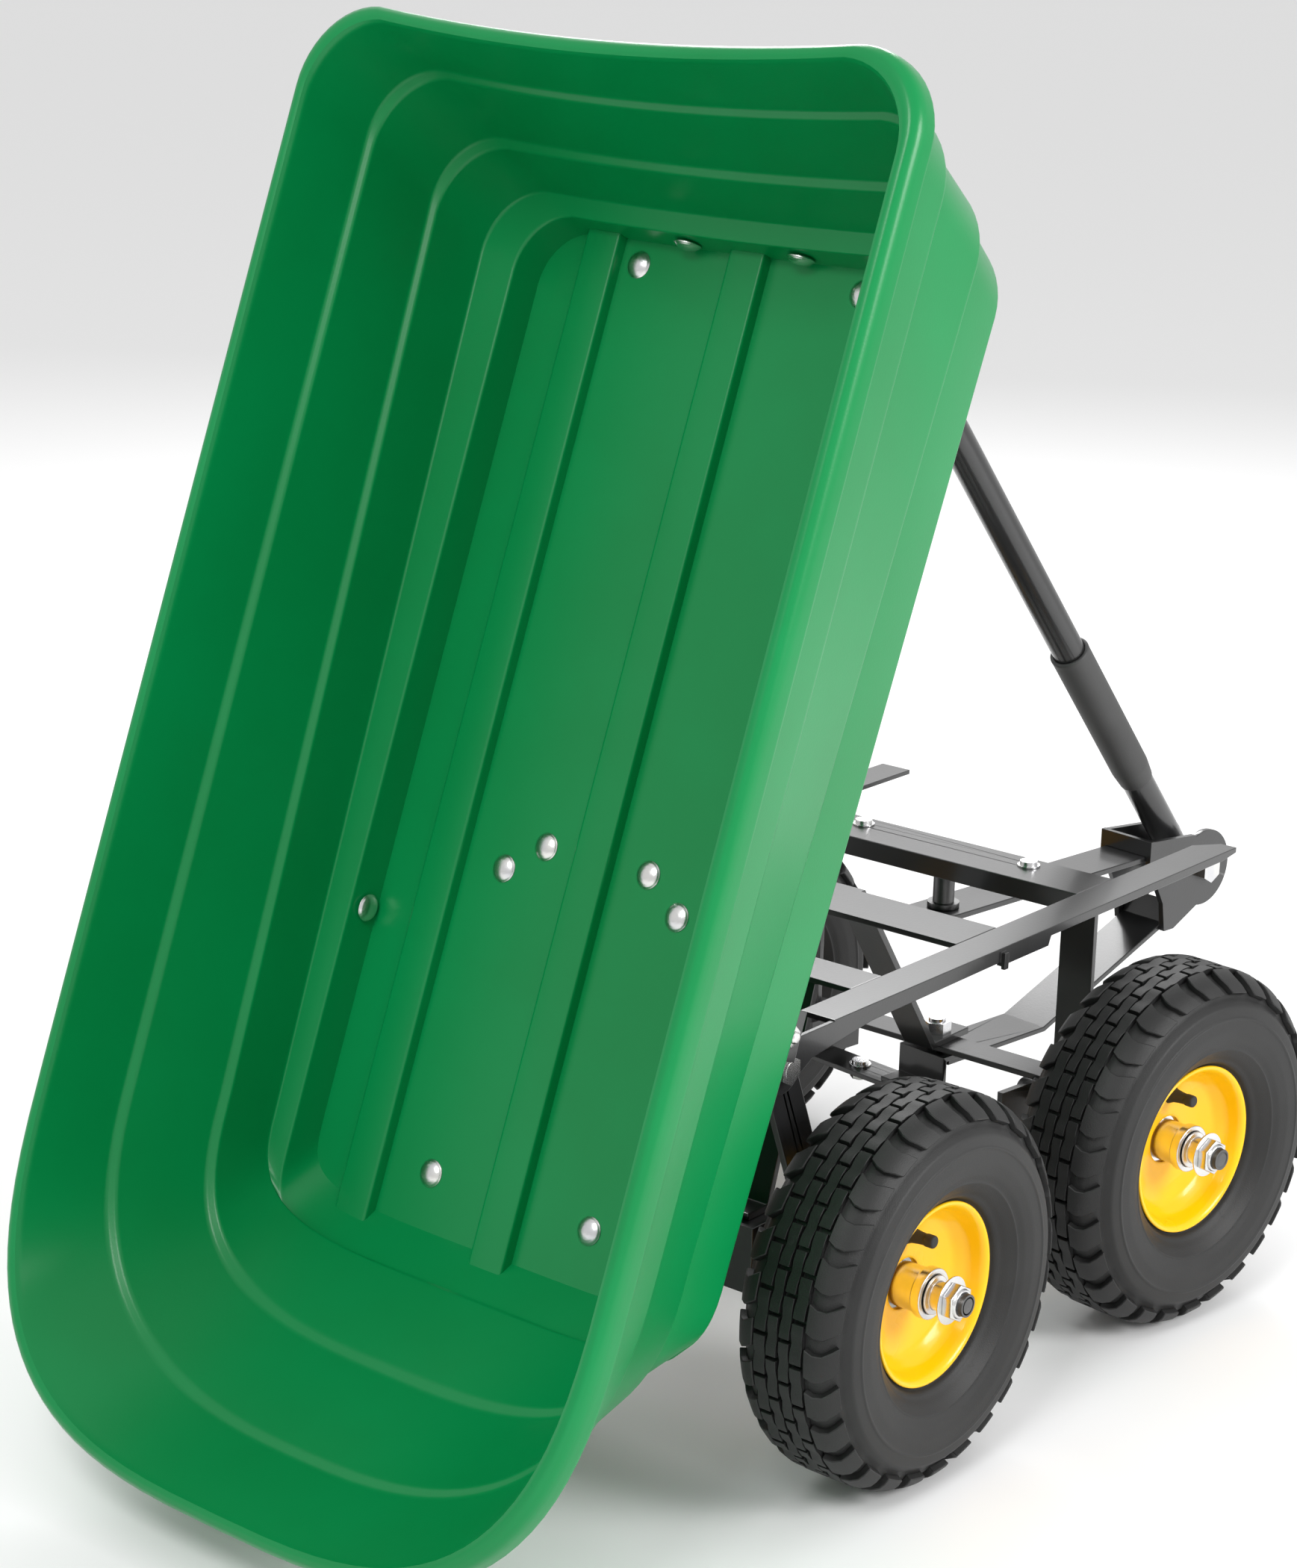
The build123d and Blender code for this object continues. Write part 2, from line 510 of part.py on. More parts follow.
def make_grip_frame():
    """The D of the handle: two legs and a cross bar, in one bent rod."""
    z0, z1, y = TUBE_END + 7.2, GRIP_END - GRIP_R, GRIP_HALF
    frame = None
    for side in (-1, 1):
        points = [(0, 0, z0), (0, side * (y - 14), z0 + 8), (0, side * y, z0 + 28), (0, side * y, z1)]
        for a, b in zip(points, points[1:]):
            d = Vector(*b) - Vector(*a)
            piece = rod(GRIP_R, a, d.normalized(), d.length) + Pos(*b) * Sphere(GRIP_R)
            frame = piece if frame is None else frame + piece
    frame += Pos(0, 0, z0) * Sphere(GRIP_R)
    frame += rod(GRIP_R, (0, -y, z1), Y_AXIS, 2 * y)
    return on_handle(frame)


def make_grip_pad():
    y = GRIP_HALF - 10
    pad = rod(GRIP_R + 6, (0, -y, GRIP_END - GRIP_R), Y_AXIS, 2 * y)
    return on_handle(pad - rod(GRIP_R + RUN, (0, -y - 1, GRIP_END - GRIP_R), Y_AXIS, 2 * y + 2))


def make_hitch_plate():
    """The flat tongue inside the D, with the drawbar pin's hole."""
    plate = block(GRIP_R + 0.2, GRIP_R + 6.2, -18, 18, TUBE_END + 0.3, TUBE_END + 50)
    return on_handle(plate - rod(HITCH_R, (0, 0, TUBE_END + HITCH_UP), X_AXIS, 20))


# ---- wheels -------------------------------------------------------------------------------------
def spun(points):
    """A ring about the Y axis, from a section given as (y, radius) points."""
    section = Polygon(*[(r, y) for y, r in points], align=None)
    return revolve(section, Axis.Y, 360)


def make_tyre():
    h, r = TYRE_W / 2, TYRE_R
    half = [(BEAD, 54.2), (BEAD, 62), (h - 6, 68), (h, 90), (h - 3, 112), (h - 11, 124), (h - 22, r)]
    back = [(h - 20, 117), (h - 11, 108), (h - 8, 90), (h - 13, 72), (BEAD - 6, 63), (BEAD - 6, 54.2)]
    flip = [(-y, q) for y, q in half[::-1]], [(-y, q) for y, q in back[::-1]]
    return spun(half + flip[0] + flip[1] + back)


def make_rim(side):
    """The dished steel rim: flanges, bead seats, well, and a disc nearer the outside."""
    h = RIM_W / 2
    inside = [(-h, RIM_R), (-h, RIM_R - 6), (-h + 6, 51.5), (-12, 50), (-8, 42), (8, 42), (12, 50), (h - 6, 51.5),
              (h, RIM_R - 6), (h, RIM_R)]
    outside = [(h - 2.4, RIM_R), (h - 2.4, 54), (11, 54), (6, 44.5), (-6, 44.5), (-11, 54), (-h + 2.4, 54),
               (-h + 2.4, RIM_R)]
    rim = spun(inside + outside)
    rim += spun([(2, HUB_R + 0.1), (4.6, HUB_R + 0.1), (4.6, 30), (7.6, 42.4), (5, 42.4), (2, 30)])
    hole = rod(5.4, (0, -5, 35), Y_AXIS, 20)
    rim -= hole
    return rim if side > 0 else mirror(rim, about=Plane.XZ)


def make_hub():
    hub = rod(HUB_R, (0, -HUB_HALF, 0), Y_AXIS, 2 * HUB_HALF)
    return hub - rod(AXLE_R + RUN, (0, -HUB_HALF - 1, 0), Y_AXIS, 2 * HUB_HALF + 2)


def make_valve(side):
    return rod(5.2, (0, side * 1, 35), (0, side, 0), 10) + rod(3, (0, side * 11, 35), (0, side, 0), 14)


WHEELS = {"rear_right": (False, -1), "rear_left": (False, 1), "front_right": (True, -1), "front_left": (True, 1)}


def wheel_place(front, side):
    place = Pos(0, side * TRACK / 2, 130)
    return Pos(WHEELBASE, 0, 0) * Rot(0, 0, STEER) * place if front else place


def nodes():
    """Every node's name and shape, in the layout frame."""
    parts = {
        "tray": make_tray(),
        "hinge_brackets": both_sides(make_hinge_bracket),
        "tray_runners": both_sides(make_runner),
        "front_plate": make_front_plate(),
        "tray_bolts": make_tray_bolts(),
        "latch_bracket": make_latch_bracket(),
        "latch_pin": make_latch_pin(),
        "latch_lever": make_latch_lever(),
        "latch_grip": make_latch_grip(),
        "rail_right": make_rail(-1),
        "rail_left": make_rail(1),
        "cross_angle": make_cross_angle(),
        "cross_brackets": both_sides(make_cross_bracket),
        "cross_plate": make_cross_plate(),
        "rear_cross": make_rear_cross(),
        "front_posts": both_sides(make_post),
        "lower_beam": make_lower_beam(),
        "centre_leg": make_centre_leg(),
        "king_bolt": make_king_bolt(),
        "king_pin": make_king_pin(),
        "rear_legs": both_sides(make_rear_leg),
        "rear_beam": make_rear_beam(),
        "rear_struts": both_sides(make_rear_strut),
        "rear_axle": make_rear_axle(),
        "pivot_bolts": both_sides(make_pivot_bolt),
        "frame_bolts": make_frame_bolts(),
        "rear_axle_hardware": Pos(0, 0, TYRE_R) * axle_hardware(),
        "fork_bar": make_fork_bar(),
        "end_plates": both_sides(lambda s: steered(make_end_plate(s))),
        "king_bracket": make_king_bracket(),
        "draw_strap": make_strap(),
        "upper_arm": make_upper_arm(),
        "yoke": make_yoke(),
        "handle_bolt": make_handle_bolt(),
        "fork_bolts": make_fork_bolts(),
        "stub_axles": both_sides(lambda s: steered(make_stub(s))),
        "front_axle_hardware": steered(Pos(0, 0, TYRE_R) * axle_hardware()),
        "handle_eye": make_handle_eye(),
        "handle_tube": make_handle_tube(),
        "handle_sleeve": make_sleeve(),
        "grip_frame": make_grip_frame(),
        "grip_pad": make_grip_pad(),
        "hitch_plate": make_hitch_plate(),
    }
    tyre, hub = make_tyre(), make_hub()
    for name, (front, side) in WHEELS.items():
        place = wheel_place(front, side)
        parts["tyre_" + name] = place * tyre
        parts["rim_" + name] = place * make_rim(side)
        parts["hub_" + name] = place * hub
        parts["valve_" + name] = place * make_valve(side)
    return parts


def main():
    os.makedirs("parts", exist_ok=True)
    for name, shape in nodes().items():
        export_step(Pos(-ORIGIN_X, 0, 0) * shape, "parts/" + name + ".step")


if __name__ == "__main__":
    main()
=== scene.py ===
"""Looks of the tow-behind tipping cart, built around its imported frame: tray, wheels, chassis and handle."""
import json
import logging
import math
from dataclasses import dataclass
from enum import Enum
from typing import Callable, Iterable, Sequence

import bpy
from mathutils import Matrix, Vector


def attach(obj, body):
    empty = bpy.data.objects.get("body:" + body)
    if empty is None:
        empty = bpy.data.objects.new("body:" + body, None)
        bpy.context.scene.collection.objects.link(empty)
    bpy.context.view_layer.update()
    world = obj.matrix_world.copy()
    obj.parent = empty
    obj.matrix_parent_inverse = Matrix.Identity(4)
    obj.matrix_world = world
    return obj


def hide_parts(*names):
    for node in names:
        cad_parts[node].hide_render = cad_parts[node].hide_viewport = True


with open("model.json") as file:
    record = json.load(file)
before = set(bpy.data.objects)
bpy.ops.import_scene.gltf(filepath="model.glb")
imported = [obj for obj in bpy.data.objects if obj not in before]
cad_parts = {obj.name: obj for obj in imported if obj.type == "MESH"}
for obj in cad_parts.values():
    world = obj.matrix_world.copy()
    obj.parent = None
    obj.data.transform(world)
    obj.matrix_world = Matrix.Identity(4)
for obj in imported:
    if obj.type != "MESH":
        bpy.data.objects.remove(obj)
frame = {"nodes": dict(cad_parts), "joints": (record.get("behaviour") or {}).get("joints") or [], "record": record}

LOG = logging.getLogger("cart")
MM = 0.001
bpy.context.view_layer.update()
JOINTS = {joint["name"]: joint for joint in frame["joints"]}
Point2 = tuple[float, float]
Rings = list[list[Vector]]


# ---- places -------------------------------------------------------------------------------------
@dataclass(frozen=True)
class Place:
    """A sub-assembly's own drawing axes in the row frame, with its sizes in millimetres."""

    origin: Vector
    x: Vector
    y: Vector
    z: Vector

    def at(self, a: float, b: float, c: float) -> Vector:
        """The point a, b and c millimetres along the three axes."""
        return self.origin + (self.x * a + self.y * b + self.z * c) * MM

    def moved(self, a: float, b: float, c: float) -> "Place":
        """The same axes about another point."""
        return Place(self.at(a, b, c), self.x, self.y, self.z)


def along(origin: Vector, direction: Vector) -> Place:
    """A place whose y axis runs along a direction.

    Args:
        origin: The place's origin, in metres.
        direction: Where its y axis points.

    Returns:
        The place, with its other axes square to that.
    """
    y = direction.normalized()
    x = y.orthogonal().normalized()
    return Place(origin, x, y, x.cross(y))


def joint_place(name: str) -> Vector:
    """A joint's point at rest."""
    return Vector(JOINTS[name]["pos_m"])


# ---- mesh making --------------------------------------------------------------------------------
def deselect() -> None:
    """Nothing is selected, so that an operator acts on the next piece alone."""
    if bpy.context.object and bpy.context.object.mode != "OBJECT":
        bpy.ops.object.mode_set(mode="OBJECT")
    bpy.ops.object.select_all(action="DESELECT")


def choose(piece: bpy.types.Object) -> None:
    """Selects one piece and makes it active."""
    deselect()
    piece.select_set(True)
    bpy.context.view_layer.objects.active = piece


def cleaned(piece: bpy.types.Object, fill: bool = False) -> bpy.types.Object:
    """Merges a piece's doubles, closes its ends if asked, and turns its faces outwards."""
    choose(piece)
    bpy.ops.object.mode_set(mode="EDIT")
    bpy.ops.mesh.select_all(action="SELECT")
    bpy.ops.mesh.remove_doubles(threshold=1e-6)
    if fill:
        bpy.ops.mesh.fill_holes(sides=0)
    bpy.ops.mesh.select_all(action="SELECT")
    bpy.ops.mesh.normals_make_consistent(inside=False)
    bpy.ops.object.mode_set(mode="OBJECT")
    return piece


def smooth(piece: bpy.types.Object, angle: float = 35.0) -> bpy.types.Object:
    """Shades a piece smooth, apart from edges sharper than an angle in degrees."""
    choose(piece)
    bpy.ops.object.shade_smooth_by_angle(angle=math.radians(angle))
    return piece


def skin(name: str, rings: Rings, closed: bool = False, fill: bool = False) -> bpy.types.Object:
    """A surface through rings of points: a grid whose rows are laid on the rings.

    Args:
        name: The piece's name.
        rings: Rings with the same number of points, in metres.
        closed: Whether the last ring joins the first.
        fill: Whether open ends get a face.

    Returns:
        The piece.
    """
    rows = rings + [rings[0]] if closed else rings
    deselect()
    bpy.ops.mesh.primitive_grid_add(x_subdivisions=len(rows[0]), y_subdivisions=len(rows) - 1, size=1)
    piece = bpy.context.object
    piece.name = piece.data.name = name
    flat = [value for ring in rows for point in [*ring, ring[0]] for value in point]
    piece.data.vertices.foreach_set("co", flat)
    return smooth(cleaned(piece, fill))


def rounded(points: Sequence[Sequence[float]], radius: float, steps: int = 4,
            closed: bool = False) -> list[Vector]:
    """A path of any dimension with its corners rounded by short curves.

    Args:
        points: The corners.
        radius: How far from each corner its curve starts, at most 0.45 of a run.
        steps: The curve's parts.
        closed: Whether the last corner joins the first.

    Returns:
        The points of the rounded path.
    """
    corners = [Vector(p) for p in points]
    count = len(corners)
    path = []
    for i, corner in enumerate(corners):
        if not closed and i in (0, count - 1):
            path.append(corner)
            continue
        before, after = corners[i - 1] - corner, corners[(i + 1) % count] - corner
        start = corner + before * min(0.45, radius / max(before.length, 1e-9))
        end = corner + after * min(0.45, radius / max(after.length, 1e-9))
        for k in range(steps + 1):
            t = k / steps
            path.append(start * (1 - t) ** 2 + corner * (2 * t * (1 - t)) + end * t * t)
    return path


def turned(name: str, place: Place, profile: Iterable[Sequence[float]], steps: int = 48,
           closed: bool = False) -> bpy.types.Object:
    """A lathe-turned piece about a place's y axis, from (along, radius) points."""
    rings = []
    for offset, radius in profile:
        angles = [2 * math.pi * k / steps for k in range(steps)]
        rings.append([place.at(radius * math.cos(a), offset, radius * math.sin(a)) for a in angles])
    return skin(name, rings, closed)


def swept(name: str, path: Sequence[Vector], radii: Sequence[float], sides: int = 28) -> bpy.types.Object:
    """A round bar along a path, with a radius in millimetres at each of its points."""
    rings = []
    across = (path[1] - path[0]).orthogonal().normalized()
    for i, point in enumerate(path):
        tangent = (path[min(i + 1, len(path) - 1)] - path[max(i - 1, 0)]).normalized()
        across = (across - tangent * across.dot(tangent)).normalized()
        other = tangent.cross(across)
        angles = [2 * math.pi * k / sides for k in range(sides)]
        rings.append([point + (across * math.cos(a) + other * math.sin(a)) * radii[i] * MM for a in angles])
    return skin(name, rings, fill=True)


def modified(piece: bpy.types.Object, kind: str, **settings: object) -> bpy.types.Object:
    """Adds a modifier with its settings and applies it."""
    choose(piece)
    modifier = piece.modifiers.new(kind.title(), kind)
    for key, value in settings.items():
        setattr(modifier, key, value)
    bpy.ops.object.modifier_apply(modifier=modifier.name)
    return piece


def joined(name: str, pieces: Sequence[bpy.types.Object]) -> bpy.types.Object:
    """Several meshes as one piece."""
    deselect()
    for piece in pieces:
        piece.select_set(True)
    bpy.context.view_layer.objects.active = pieces[0]
    bpy.ops.object.join()
    pieces[0].name = pieces[0].data.name = name
    return pieces[0]


def mapped(piece: bpy.types.Object, move: Callable[[Vector], Vector]) -> bpy.types.Object:
    """A copy of a piece, with its own mesh and each of its points moved."""
    copy = piece.copy()
    copy.data = piece.data.copy()
    bpy.context.scene.collection.objects.link(copy)
    for vertex in copy.data.vertices:
        vertex.co = move(vertex.co)
    return copy


def placed(piece: bpy.types.Object, place: Place) -> bpy.types.Object:
    """A copy of a piece drawn in millimetres about the origin, laid at a place."""
    return mapped(piece, lambda co: place.at(*co))


def removed(*pieces: bpy.types.Object) -> None:
    """Takes patterns that were only copied from out of the scene."""
    for piece in pieces:
        bpy.data.objects.remove(piece)


# ---- finishes -----------------------------------------------------------------------------------
@dataclass(frozen=True)
class Value:
    """A shader socket that takes part in sums."""

    tree: "Shader"
    socket: bpy.types.NodeSocket

    def _with(self, operation: str, *others: "Value | float") -> "Value":
        return self.tree.maths(operation, self, *others)

    def __add__(self, other: "Value | float") -> "Value":
        return self._with("ADD", other)

    def __mul__(self, other: "Value | float") -> "Value":
        return self._with("MULTIPLY", other)

    def __sub__(self, other: "Value | float") -> "Value":
        return self._with("SUBTRACT", other)

    def __rsub__(self, other: float) -> "Value":
        return self.tree.maths("SUBTRACT", other, self)

    __radd__ = __add__
    __rmul__ = __mul__


class Shader:
    """A material's node tree, with one Principled shader on Object coordinates."""

    def __init__(self, name: str) -> None:
        """Starts a material of that name."""
        self.material = bpy.data.materials.new(name)
        self.material.use_nodes = True
        self.nodes = self.material.node_tree.nodes
        self.links = self.material.node_tree.links
        self.surface = self.nodes["Principled BSDF"]
        self.place = self.nodes.new("ShaderNodeTexCoord").outputs["Object"]

    def node(self, kind: str, settings: dict[str, object], inputs: dict[str | int, object]) -> bpy.types.Node:
        """Adds a node.

        Args:
            kind: The node's type, without its ShaderNode prefix.
            settings: The node's own properties.
            inputs: Values, sockets or Values for its sockets.

        Returns:
            The node.
        """
        made = self.nodes.new("ShaderNode" + kind)
        for key, value in settings.items():
            setattr(made, key, value)
        for key, value in inputs.items():
            self.feed(made.inputs[key], value)
        return made

    def feed(self, socket: bpy.types.NodeSocket, value: object) -> None:
        """Links or sets one socket."""
        if isinstance(value, Value):
            value = value.socket
        if isinstance(value, bpy.types.NodeSocket):
            self.links.new(value, socket)
        else:
            socket.default_value = value

    def maths(self, operation: str, *values: "Value | float") -> Value:
        """A Math node's result."""
        made = self.node("Math", {"operation": operation}, dict(enumerate(values)))
        return Value(self, made.outputs[0])

    def noise(self, scale: float, detail: float = 3.0, rough: float = 0.55) -> Value:
        """Noise from 0 to 1 over the object, with a scale per metre."""
        made = self.node("TexNoise", {}, {"Vector": self.place, "Scale": scale, "Detail": detail,
                                          "Roughness": rough})
        return Value(self, made.outputs["Fac"])

    def mask(self, value: Value, low: float, high: float) -> Value:
        """A value spread so that low becomes 0 and high becomes 1."""
        made = self.node("MapRange", {"interpolation_type": "SMOOTHSTEP"},
                         {"Value": value, "From Min": low, "From Max": high})
        return Value(self, made.outputs["Result"])

    def mix(self, share: Value, first: object, second: object) -> bpy.types.NodeSocket:
        """Two colours mixed by a share."""
        return self.node("Mix", {"data_type": "RGBA"}, {0: share, 6: first, 7: second}).outputs[2]

    def bump(self, height: Value, strength: float, distance: float) -> None:
        """Feeds the surface's normal from a height."""
        made = self.node("Bump", {}, {"Strength": strength, "Distance": distance, "Height": height})
        self.feed(self.surface.inputs["Normal"], made.outputs["Normal"])

    def set(self, **inputs: object) -> None:
        """Sets the surface's sockets, with _ for a space in their names."""
        for key, value in inputs.items():
            self.feed(self.surface.inputs[key.replace("_", " ")], value)


Colour = tuple[float, float, float, float]


@dataclass(frozen=True)
class Finish:
    """A worn, slightly uneven surface: two tones, scuffs, roughness and a fine texture."""

    name: str
    tone: Colour
    other: Colour
    scuff: Colour
    rough: float
    scuff_rough: float
    metal: float = 0.0
    coat: float = 0.0
    shine: float = 0.5
    patch_scale: float = 9.0
    grain_scale: float = 900.0
    grain: float = 0.1
    scuff_from: float = 0.66
    scuff_fade: float = 0.16

    def material(self) -> bpy.types.Material:
        """The finish's material."""
        shader = Shader(self.name)
        patches = shader.noise(self.patch_scale, 4.0)
        rubbed = shader.noise(self.patch_scale * 7, 8.0, 0.72)
        scuffs = shader.mask(rubbed, self.scuff_from, self.scuff_from + self.scuff_fade)
        grain = shader.noise(self.grain_scale, 2.0)
        colour = shader.mix(shader.mask(patches, 0.3, 0.7), self.tone, self.other)
        shader.set(Base_Color=shader.mix(scuffs * 0.5, colour, self.scuff), Metallic=self.metal,
                   Roughness=self.rough + patches * 0.06 + scuffs * (self.scuff_rough - self.rough),
                   Coat_Weight=self.coat, Coat_Roughness=0.12, Specular_IOR_Level=self.shine)
        shader.bump(grain + scuffs * 0.4, self.grain, 0.0004)
        return shader.material


def grey(value: float, tint: float = 0.0) -> Colour:
    """A near-neutral colour, bluer by tint."""
    return (value, value, value + tint, 1.0)


class Finishes(Enum):
    """The cart's finishes, by the record's material slots."""

    green_poly = Finish("green_poly", (0.0, 0.235, 0.062, 1), (0.0, 0.205, 0.05, 1), (0.01, 0.29, 0.1, 1),
                        rough=0.27, scuff_rough=0.38, shine=0.34, patch_scale=4, grain_scale=700, grain=0.1,
                        scuff_from=0.7)
    black_paint = Finish("black_paint", grey(0.012), grey(0.018, 0.001), grey(0.05), rough=0.26,
                         scuff_rough=0.5, coat=0.5, grain_scale=500, grain=0.14)
    yellow_paint = Finish("yellow_paint", (1.0, 0.56, 0.0, 1), (0.97, 0.52, 0.0, 1), (0.8, 0.5, 0.05, 1),
                          rough=0.24, scuff_rough=0.45, coat=0.3, shine=0.3, grain_scale=420, grain=0.1,
                          scuff_from=0.72)
    tyre = Finish("tyre", grey(0.011), grey(0.017), grey(0.04), rough=0.48, scuff_rough=0.7, shine=0.4,
                  patch_scale=14, grain_scale=1400, grain=0.4, scuff_from=0.6)
    zinc = Finish("zinc", (0.78, 0.77, 0.74, 1), (0.66, 0.66, 0.68, 1), (0.5, 0.47, 0.4, 1), rough=0.2,
                  scuff_rough=0.42, metal=1.0, patch_scale=60, grain_scale=2600, grain=0.15)
    axle_steel = Finish("axle_steel", grey(0.16), grey(0.12), grey(0.3), rough=0.34, scuff_rough=0.5,
                        metal=1.0, patch_scale=40, grain_scale=2000, grain=0.2)
    grip_rubber = Finish("grip_rubber", grey(0.014), grey(0.02), grey(0.05), rough=0.62, scuff_rough=0.8,
                         patch_scale=30, grain_scale=1800, grain=0.5)
    grey_sleeve = Finish("grey_sleeve", grey(0.04), grey(0.05), grey(0.09), rough=0.5, scuff_rough=0.66,
                         patch_scale=20, grain_scale=1500, grain=0.3)


MATERIALS = {finish.name: finish.value.material() for finish in Finishes}


def dressed(piece: bpy.types.Object, finish: Finishes, body: str, *nodes: str) -> bpy.types.Object:
    """Gives a piece its finish, the body it rides on and the frame nodes that it stands for."""
    piece.data.materials.clear()
    piece.data.materials.append(MATERIALS[finish.name])
    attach(piece, body)
    if nodes:
        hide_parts(*nodes)
    LOG.info("%s: %d faces", piece.name, len(piece.data.polygons))
    return piece


# ---- fasteners ----------------------------------------------------------------------------------
ORIGIN = Place(Vector((0, 0, 0)), Vector((1000, 0, 0)), Vector((0, 1000, 0)), Vector((0, 0, 1000)))


@dataclass(frozen=True)
class Fasteners:
    """Patterns of domed bolts and nuts, drawn in millimetres about the origin with +y leaving the work."""

    shank: float = 4.0
    washer: float = 1.2
    stand_out: float = 2.6

    def dome(self) -> bpy.types.Object:
        """A carriage bolt's domed head with its thin brim."""
        r = self.shank
        profile = [(-0.5, 0), (-0.5, r * 2.3), (0.5, r * 2.36), (1.0, r * 2.2), (1.9, r * 2.0),
                   (3.2, r * 1.45), (4.0, r * 0.85), (4.3, r * 0.3), (4.3, 0)]
        return turned("dome", ORIGIN, rounded(profile, 0.5, 2), 32)

    def nut(self, flats: float = 13.0, height: float = 5.5) -> bpy.types.Object:
        """A bevelled hexagon nut on a washer, with the bolt's end standing out of it."""
        deselect()
        bpy.ops.mesh.primitive_cylinder_add(vertices=6, radius=flats / math.sqrt(3), depth=height,
                                            location=(0, height / 2 + self.washer, 0),
                                            rotation=(math.pi / 2, 0, 0))
        body = bpy.context.object
        bpy.ops.object.transform_apply(location=True, rotation=True, scale=True)
        modified(body, "BEVEL", width=0.7, segments=3, limit_method="ANGLE", angle_limit=math.radians(30))
        smooth(body)
        rim = flats * 0.72
        disc = [(0, 0), (0, rim), (self.washer, rim), (self.washer, 0)]
        plate = turned("washer", ORIGIN, rounded(disc, 0.3, 2), 36)
        end = height + self.washer + self.stand_out
        stub = [(0, 0), (0, self.shank), (end - 1, self.shank), (end, self.shank - 1), (end, 0)]
        return joined("nut", [body, plate, turned("bolt", ORIGIN, rounded(stub, 0.3, 2), 24)])


# ---- tray ---------------------------------------------------------------------------------------
@dataclass(frozen=True)
class Ring:
    """The tray's outline at one depth under its rim."""

    depth: float
    half_front: float
    half_rear: float
    front: float
    end: float
    power: float

    def grown(self, depth: float, by: float) -> "Ring":
        """The outline at another depth, larger all round."""
        return Ring(depth, self.half_front + by, self.half_rear + by, self.front - by, self.end + by,
                    self.power)

    def values(self) -> tuple[float, ...]:
        """The ring as a point that rounding can work on."""
        return (self.depth, self.half_front, self.half_rear, self.front, self.end, self.power)


